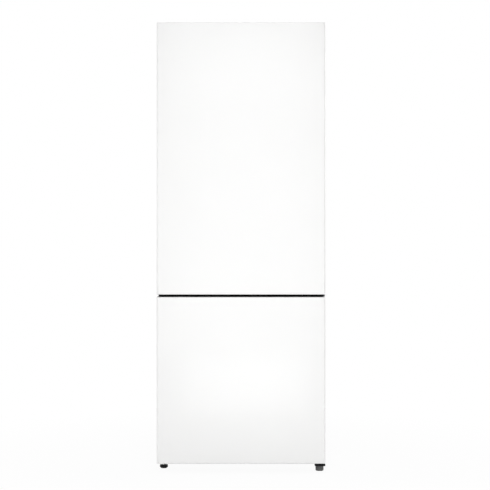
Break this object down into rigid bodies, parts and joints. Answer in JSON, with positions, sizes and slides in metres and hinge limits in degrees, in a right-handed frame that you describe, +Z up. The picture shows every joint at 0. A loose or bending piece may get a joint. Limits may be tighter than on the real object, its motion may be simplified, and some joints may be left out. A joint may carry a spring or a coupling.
{
  "type": "two-door refrigerator",
  "caption": "Upright refrigerator with a tall fridge door above a freezer door, both hinged on the right, with shelves, drawers, bins and cooling machinery inside",
  "frame": {"origin": "on the floor, at the centre of the overall bounding box, under the feet and rollers", "axes": "+Z up, doors face -Y, +X to the right when looking at the front; hinges are on the +X side"},
  "size_m": [0.635, 0.695, 1.697],
  "materials": {
    "cabinet-sides": "white powder coat",
    "cabinet-top": "white powder coat",
    "cabinet-back": "galvanised sheet, light grey",
    "cabinet-base": "galvanised sheet",
    "front-rails": "white powder coat",
    "cabinet-foam": "rigid foam",
    "fridge-liner": "moulded liner",
    "freezer-liner": "moulded liner",
    "divider-trim": "dark strip",
    "top-hinge": "zinc-plated steel",
    "top-hinge-cover": "moulded cover",
    "middle-hinge": "dark coated steel",
    "bottom-hinge": "dark coated steel",
    "hinge-washers": "low-friction washer",
    "screws": "zinc-plated screws",
    "glass-shelves": "toughened glass",
    "shelf-trims": "moulded trim",
    "duct-cover": "moulded cover",
    "evaporator": "plain fins and tubes",
    "evaporator-cover": "moulded cover",
    "fan-motors": "coated steel",
    "control-housing": "moulded housing",
    "light-lens": "clear lens",
    "compressor-deck": "galvanised sheet",
    "compressor": "black enamel",
    "compressor-grommets": "rubber",
    "condenser": "black enamel",
    "drain-pan": "moulded tray",
    "rear-cover": "coated sheet with louvres",
    "cord-gland": "moulded bush",
    "fridge-door-skin": "white powder coat",
    "fridge-door-top-cap": "white moulded cap",
    "fridge-door-bottom-cap": "dark moulded cap with side grip",
    "fridge-door-foam": "rigid foam",
    "fridge-door-liner": "moulded liner",
    "fridge-door-gasket": "soft white seal",
    "freezer-door-skin": "white powder coat",
    "freezer-door-top-cap": "dark moulded cap with side grip",
    "freezer-door-bottom-cap": "white moulded cap",
    "freezer-door-foam": "rigid foam",
    "freezer-door-liner": "moulded liner",
    "freezer-door-gasket": "soft white seal",
    "bottle-bin": "clear moulded plastic",
    "middle-bin": "clear moulded plastic",
    "dairy-bin": "clear moulded plastic",
    "dairy-lid": "clear moulded plastic",
    "crisper-left": "clear moulded plastic",
    "crisper-right": "clear moulded plastic",
    "freezer-drawer-bottom": "frosted moulded plastic",
    "freezer-drawer-middle": "frosted moulded plastic",
    "freezer-drawer-top": "frosted moulded plastic",
    "evaporator-fan": "moulded blades",
    "condenser-fan": "moulded blades",
    "air-damper": "moulded flap",
    "temperature-button": "moulded button",
    "fast-freeze-button": "moulded button",
    "rear-roller-left": "moulded wheel",
    "rear-roller-right": "moulded wheel",
    "left-foot": "moulded foot",
    "right-foot": "moulded foot"
  },
  "bodies": {
    "cabinet": {"cabinet-sides": "cabinet-sides", "cabinet-top": "cabinet-top", "cabinet-back": "cabinet-back", "cabinet-base": "cabinet-base", "front-rails": "front-rails", "cabinet-foam": "cabinet-foam", "fridge-liner": "fridge-liner", "freezer-liner": "freezer-liner", "divider-trim": "divider-trim", "top-hinge": "top-hinge", "top-hinge-cover": "top-hinge-cover", "middle-hinge": "middle-hinge", "bottom-hinge": "bottom-hinge", "hinge-washers": "hinge-washers", "screws": "screws", "glass-shelves": "glass-shelves", "shelf-trims": "shelf-trims", "duct-cover": "duct-cover", "evaporator": "evaporator", "evaporator-cover": "evaporator-cover", "fan-motors": "fan-motors", "control-housing": "control-housing", "light-lens": "light-lens", "compressor-deck": "compressor-deck", "compressor": "compressor", "compressor-grommets": "compressor-grommets", "condenser": "condenser", "drain-pan": "drain-pan", "rear-cover": "rear-cover", "cord-gland": "cord-gland"},
    "fridge_door": {"fridge-door-skin": "fridge-door-skin", "fridge-door-top-cap": "fridge-door-top-cap", "fridge-door-bottom-cap": "fridge-door-bottom-cap", "fridge-door-foam": "fridge-door-foam", "fridge-door-liner": "fridge-door-liner", "fridge-door-gasket": "fridge-door-gasket"},
    "freezer_door": {"freezer-door-skin": "freezer-door-skin", "freezer-door-top-cap": "freezer-door-top-cap", "freezer-door-bottom-cap": "freezer-door-bottom-cap", "freezer-door-foam": "freezer-door-foam", "freezer-door-liner": "freezer-door-liner", "freezer-door-gasket": "freezer-door-gasket"},
    "bottle_bin": {"bottle-bin": "bottle-bin"},
    "middle_bin": {"middle-bin": "middle-bin"},
    "dairy_bin": {"dairy-bin": "dairy-bin"},
    "dairy_lid": {"dairy-lid": "dairy-lid"},
    "crisper_left": {"crisper-left": "crisper-left"},
    "crisper_right": {"crisper-right": "crisper-right"},
    "freezer_drawer_bottom": {"freezer-drawer-bottom": "freezer-drawer-bottom"},
    "freezer_drawer_middle": {"freezer-drawer-middle": "freezer-drawer-middle"},
    "freezer_drawer_top": {"freezer-drawer-top": "freezer-drawer-top"},
    "evaporator_fan": {"evaporator-fan": "evaporator-fan"},
    "condenser_fan": {"condenser-fan": "condenser-fan"},
    "air_damper": {"air-damper": "air-damper"},
    "temperature_button": {"temperature-button": "temperature-button"},
    "fast_freeze_button": {"fast-freeze-button": "fast-freeze-button"},
    "rear_roller_left": {"rear-roller-left": "rear-roller-left"},
    "rear_roller_right": {"rear-roller-right": "rear-roller-right"},
    "left_foot": {"left-foot": "left-foot"},
    "right_foot": {"right-foot": "right-foot"}
  },
  "joints": [
    {"name": "fridge_door_hinge", "type": "hinge", "parent": "cabinet", "child": "fridge_door", "pos_m": [0.2975, -0.3025, 1.18], "axis": [0, 0, 1], "range_deg": [0, 120]},
    {"name": "freezer_door_hinge", "type": "hinge", "parent": "cabinet", "child": "freezer_door", "pos_m": [0.2975, -0.3025, 0.345], "axis": [0, 0, 1], "range_deg": [0, 120]},
    {"name": "bottle_bin_lift", "type": "slide", "parent": "fridge_door", "child": "bottle_bin", "axis": [0, 0, 1], "range_m": [0, 0.03]},
    {"name": "middle_bin_lift", "type": "slide", "parent": "fridge_door", "child": "middle_bin", "axis": [0, 0, 1], "range_m": [0, 0.03]},
    {"name": "dairy_bin_lift", "type": "slide", "parent": "fridge_door", "child": "dairy_bin", "axis": [0, 0, 1], "range_m": [0, 0.03]},
    {"name": "dairy_lid_hinge", "type": "hinge", "parent": "dairy_bin", "child": "dairy_lid", "pos_m": [0, -0.267, 1.47549], "axis": [1, 0, 0], "range_deg": [0, 85]},
    {"name": "crisper_left_slide", "type": "slide", "parent": "cabinet", "child": "crisper_left", "axis": [0, -1, 0], "range_m": [0, 0.22]},
    {"name": "crisper_right_slide", "type": "slide", "parent": "cabinet", "child": "crisper_right", "axis": [0, -1, 0], "range_m": [0, 0.22]},
    {"name": "freezer_drawer_bottom_slide", "type": "slide", "parent": "cabinet", "child": "freezer_drawer_bottom", "axis": [0, -1, 0], "range_m": [0, 0.22]},
    {"name": "freezer_drawer_middle_slide", "type": "slide", "parent": "cabinet", "child": "freezer_drawer_middle", "axis": [0, -1, 0], "range_m": [0, 0.22]},
    {"name": "freezer_drawer_top_slide", "type": "slide", "parent": "cabinet", "child": "freezer_drawer_top", "axis": [0, -1, 0], "range_m": [0, 0.22]},
    {"name": "evaporator_fan_spin", "type": "hinge", "parent": "cabinet", "child": "evaporator_fan", "pos_m": [0, 0.24, 0.564], "axis": [0, 1, 0], "continuous": true},
    {"name": "condenser_fan_spin", "type": "hinge", "parent": "cabinet", "child": "condenser_fan", "pos_m": [-0.085, 0.23825, 0.138], "axis": [1, 0, 0], "continuous": true},
    {"name": "air_damper_hinge", "type": "hinge", "parent": "cabinet", "child": "air_damper", "pos_m": [0, 0.2785, 0.707], "axis": [-1, 0, 0], "range_deg": [0, 75]},
    {"name": "temperature_button_press", "type": "slide", "parent": "cabinet", "child": "temperature_button", "axis": [0, 1, 0], "range_m": [0, 0.0012], "stiffness_N_per_m": 600},
    {"name": "fast_freeze_button_press", "type": "slide", "parent": "cabinet", "child": "fast_freeze_button", "axis": [0, 1, 0], "range_m": [0, 0.0012], "stiffness_N_per_m": 600},
    {"name": "rear_roller_left_spin", "type": "hinge", "parent": "cabinet", "child": "rear_roller_left", "pos_m": [-0.2725, 0.3135, 0.016], "axis": [1, 0, 0], "continuous": true},
    {"name": "rear_roller_right_spin", "type": "hinge", "parent": "cabinet", "child": "rear_roller_right", "pos_m": [0.2725, 0.3135, 0.016], "axis": [1, 0, 0], "continuous": true},
    {"name": "left_foot_turn", "type": "hinge", "parent": "cabinet", "child": "left_foot", "pos_m": [-0.296, -0.2435, 0.02], "axis": [0, 0, 1], "continuous": true},
    {"name": "right_foot_turn", "type": "hinge", "parent": "cabinet", "child": "right_foot", "pos_m": [0.2975, -0.3025, 0.015], "axis": [0, 0, 1], "continuous": true}
  ],
  "couplings": [
    {"joint": "crisper_left_slide", "follows": "fridge_door_hinge", "m_per_rad": 0.105},
    {"joint": "crisper_right_slide", "follows": "fridge_door_hinge", "m_per_rad": 0.105},
    {"joint": "freezer_drawer_bottom_slide", "follows": "freezer_door_hinge", "m_per_rad": 0.105},
    {"joint": "freezer_drawer_middle_slide", "follows": "freezer_door_hinge", "m_per_rad": 0.105},
    {"joint": "freezer_drawer_top_slide", "follows": "freezer_door_hinge", "m_per_rad": 0.105}
  ]
}
